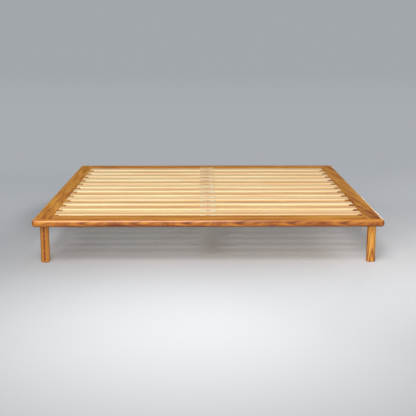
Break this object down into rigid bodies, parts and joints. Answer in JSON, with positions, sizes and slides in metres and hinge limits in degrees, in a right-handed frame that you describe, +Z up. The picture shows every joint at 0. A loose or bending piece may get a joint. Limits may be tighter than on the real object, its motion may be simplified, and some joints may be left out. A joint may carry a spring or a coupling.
{
  "type": "bed frame",
  "caption": "Low king-size platform bed frame: a border of thick rounded boards on round legs, with loose slats that lie between blocks on two ledgers and a centre beam.",
  "frame": {"origin": "on the floor, under the middle of the frame", "axes": "+X to the right seen from the foot end, +Y from the foot end to the head end, +Z up"},
  "size_m": [2.1, 2.2, 0.27],
  "materials": {
    "frame_wood": "satin oiled, warm brown",
    "slat_wood": "bare planed pine",
    "dowel_wood": "bare beech",
    "steel": "zinc plated",
    "brass": "machined",
    "felt": "dense felt"
  },
  "bodies": {
    "frame": {"left_side_board": "frame_wood", "right_side_board": "frame_wood", "front_rail": "frame_wood", "rear_rail": "frame_wood", "left_slat_ledger": "frame_wood", "right_slat_ledger": "frame_wood", "left_ledger_blocks": "frame_wood", "right_ledger_blocks": "frame_wood", "front_left_leg": "frame_wood", "front_right_leg": "frame_wood", "rear_left_leg": "frame_wood", "rear_right_leg": "frame_wood", "centre_leg": "frame_wood", "spacer_plugs": "frame_wood", "centre_beam": "slat_wood", "centre_spacer_blocks": "slat_wood", "corner_dowels": "dowel_wood", "ledger_screws": "steel", "spacer_screws": "steel", "front_beam_hanger": "steel", "rear_beam_hanger": "steel", "beam_hanger_screws": "steel", "leg_hanger_bolts": "steel", "corner_tie_plates": "steel", "tie_plate_screws": "steel", "leg_threaded_inserts": "brass", "felt_pads": "felt"},
    "slat_01": {"slat_01": "slat_wood"},
    "slat_02": {"slat_02": "slat_wood"},
    "slat_03": {"slat_03": "slat_wood"},
    "slat_04": {"slat_04": "slat_wood"},
    "slat_05": {"slat_05": "slat_wood"},
    "slat_06": {"slat_06": "slat_wood"},
    "slat_07": {"slat_07": "slat_wood"},
    "slat_08": {"slat_08": "slat_wood"},
    "slat_09": {"slat_09": "slat_wood"},
    "slat_10": {"slat_10": "slat_wood"},
    "slat_11": {"slat_11": "slat_wood"},
    "slat_12": {"slat_12": "slat_wood"}
  },
  "joints": [
    {"name": "slat_01_lift", "type": "slide", "parent": "frame", "child": "slat_01", "axis": [0, 0, 1], "range_m": [0, 0.15]},
    {"name": "slat_02_lift", "type": "slide", "parent": "frame", "child": "slat_02", "axis": [0, 0, 1], "range_m": [0, 0.15]},
    {"name": "slat_03_lift", "type": "slide", "parent": "frame", "child": "slat_03", "axis": [0, 0, 1], "range_m": [0, 0.15]},
    {"name": "slat_04_lift", "type": "slide", "parent": "frame", "child": "slat_04", "axis": [0, 0, 1], "range_m": [0, 0.15]},
    {"name": "slat_05_lift", "type": "slide", "parent": "frame", "child": "slat_05", "axis": [0, 0, 1], "range_m": [0, 0.15]},
    {"name": "slat_06_lift", "type": "slide", "parent": "frame", "child": "slat_06", "axis": [0, 0, 1], "range_m": [0, 0.15]},
    {"name": "slat_07_lift", "type": "slide", "parent": "frame", "child": "slat_07", "axis": [0, 0, 1], "range_m": [0, 0.15]},
    {"name": "slat_08_lift", "type": "slide", "parent": "frame", "child": "slat_08", "axis": [0, 0, 1], "range_m": [0, 0.15]},
    {"name": "slat_09_lift", "type": "slide", "parent": "frame", "child": "slat_09", "axis": [0, 0, 1], "range_m": [0, 0.15]},
    {"name": "slat_10_lift", "type": "slide", "parent": "frame", "child": "slat_10", "axis": [0, 0, 1], "range_m": [0, 0.15]},
    {"name": "slat_11_lift", "type": "slide", "parent": "frame", "child": "slat_11", "axis": [0, 0, 1], "range_m": [0, 0.15]},
    {"name": "slat_12_lift", "type": "slide", "parent": "frame", "child": "slat_12", "axis": [0, 0, 1], "range_m": [0, 0.15]}
  ]
}
